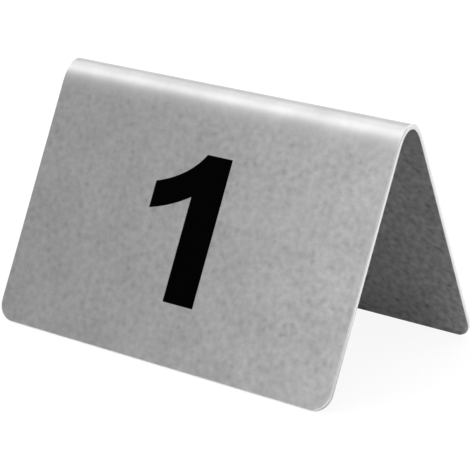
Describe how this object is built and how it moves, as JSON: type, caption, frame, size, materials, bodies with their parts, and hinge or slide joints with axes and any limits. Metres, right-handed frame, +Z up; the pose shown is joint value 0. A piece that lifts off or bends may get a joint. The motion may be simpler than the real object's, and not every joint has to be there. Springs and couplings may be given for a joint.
{
  "type": "table number sign",
  "caption": "Free-standing tent of folded satin stainless sheet with rounded bottom corners and a black numeral printed on each face, used to number a table.",
  "frame": {"origin": "centre of the footprint, on the plane of the table", "axes": "+X along the fold, towards the right hand of a reader of the front numeral; -Y out of the front face; +Z up"},
  "size_m": [0.052, 0.0328, 0.0315],
  "materials": {
    "satin_steel": "fine non-directional satin with faint brushing along the fold, bright sheared edges",
    "black_ink": "dense black screen-printed ink, low sheen"
  },
  "bodies": {
    "root": {"sign_plate": "satin_steel", "front_numeral": "black_ink", "rear_numeral": "black_ink"}
  },
  "joints": []
}
